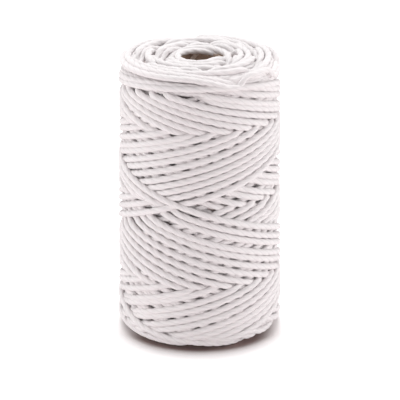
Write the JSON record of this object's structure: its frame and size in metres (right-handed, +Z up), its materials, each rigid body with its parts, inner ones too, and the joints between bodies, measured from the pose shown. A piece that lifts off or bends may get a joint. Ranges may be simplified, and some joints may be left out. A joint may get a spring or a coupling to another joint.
{
  "type": "waxed thread spool",
  "caption": "Waxed cord cross-wound in a barrel shape on a plain paper tube, standing on its end, with a hole through for a peg.",
  "frame": {"origin": "centre of the spool's base, on the axis of the tube", "axes": "+Z up along the axis of the tube, -Y towards the front"},
  "size_m": [0.045, 0.045, 0.0802],
  "materials": {
    "tube_liner": "matte",
    "tube_board": "matte",
    "tube_kraft": "matte",
    "cord_inside": "satin",
    "cord_outside": "satin"
  },
  "bodies": {
    "root": {"tube_liner_ply": "tube_liner", "tube_middle_ply": "tube_board", "tube_outer_ply": "tube_kraft", "cord_inner_windings": "cord_inside", "cord_outer_turns": "cord_outside"}
  },
  "joints": []
}
